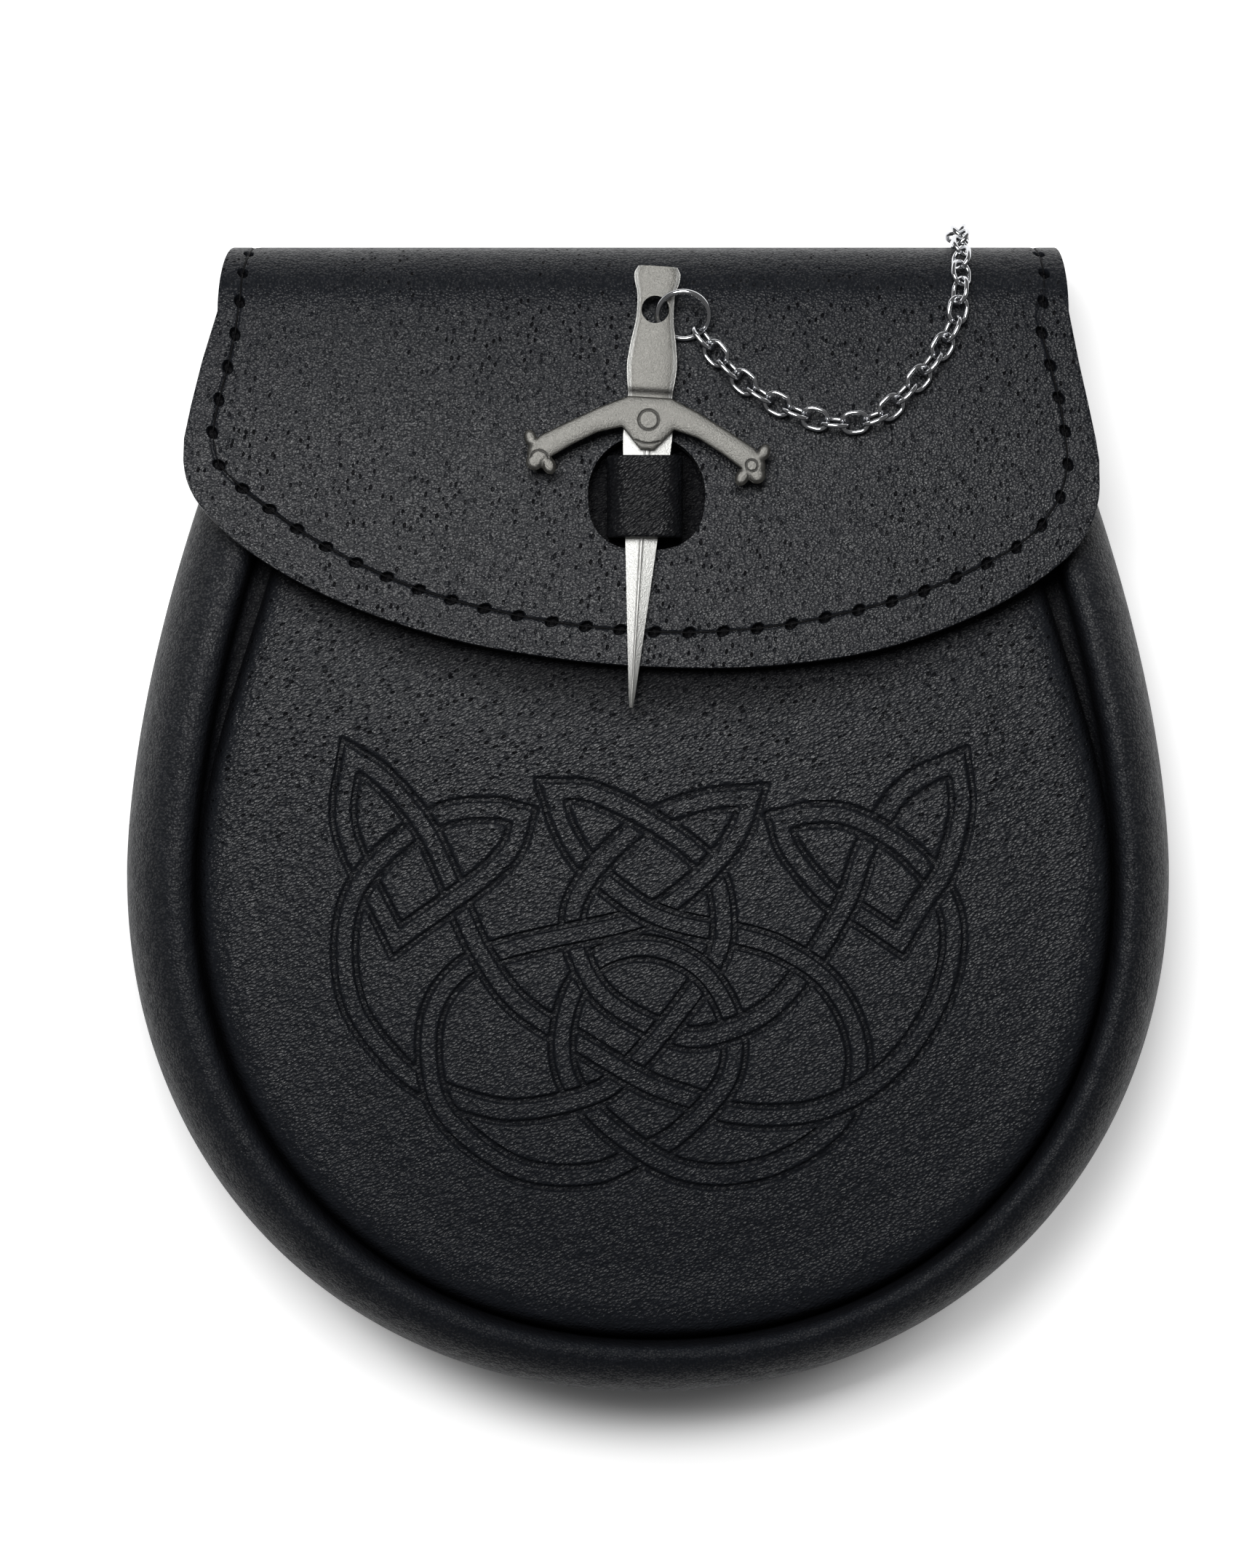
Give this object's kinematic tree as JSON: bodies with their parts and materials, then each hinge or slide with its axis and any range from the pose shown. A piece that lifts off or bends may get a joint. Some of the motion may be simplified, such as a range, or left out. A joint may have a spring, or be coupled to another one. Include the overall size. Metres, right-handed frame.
{
  "type": "sporran pouch",
  "caption": "Round black leather day sporran with an embossed front, a lined fold-over flap, and a dirk-shaped metal pin on a fine chain that locks the flap through a leather loop.",
  "frame": {"origin": "outer face of the back panel, under the middle of the round body", "axes": "+X to the wearer's left, +Y up as worn, +Z outward through the front panel; the pouch lies on its back"},
  "size_m": [0.1902, 0.2133, 0.0417],
  "materials": {
    "body_leather": "smooth black hide, lightly grained, satin",
    "panel_leather": "pebbled black hide, embossed with an interlaced knot",
    "flap_leather": "pebbled black hide with open pores, satin",
    "lining_leather": "thin black lining hide, matt",
    "pin_metal": "cast, tumbled, satin antique nickel",
    "chain_metal": "bright polished plate"
  },
  "bodies": {
    "root": {"back_panel": "body_leather", "gusset": "body_leather", "front_panel": "panel_leather", "flap": "flap_leather", "flap_lining": "lining_leather", "closure_loop": "panel_leather", "strap_loop": "body_leather", "pin_dirk": "pin_metal", "pin_guard": "pin_metal", "pin_rivet": "pin_metal", "jump_ring": "chain_metal", "chain_rivet": "chain_metal", "chain_link_01": "chain_metal", "chain_link_02": "chain_metal", "chain_link_03": "chain_metal", "chain_link_04": "chain_metal", "chain_link_05": "chain_metal", "chain_link_06": "chain_metal", "chain_link_07": "chain_metal", "chain_link_08": "chain_metal", "chain_link_09": "chain_metal", "chain_link_10": "chain_metal", "chain_link_11": "chain_metal", "chain_link_12": "chain_metal", "chain_link_13": "chain_metal", "chain_link_14": "chain_metal", "chain_link_15": "chain_metal", "chain_link_16": "chain_metal", "chain_link_17": "chain_metal", "chain_link_18": "chain_metal", "chain_link_19": "chain_metal", "chain_link_20": "chain_metal", "chain_link_21": "chain_metal", "chain_link_22": "chain_metal", "chain_link_23": "chain_metal", "chain_link_24": "chain_metal", "chain_link_25": "chain_metal", "chain_link_26": "chain_metal", "chain_link_27": "chain_metal", "chain_link_28": "chain_metal"}
  },
  "joints": []
}
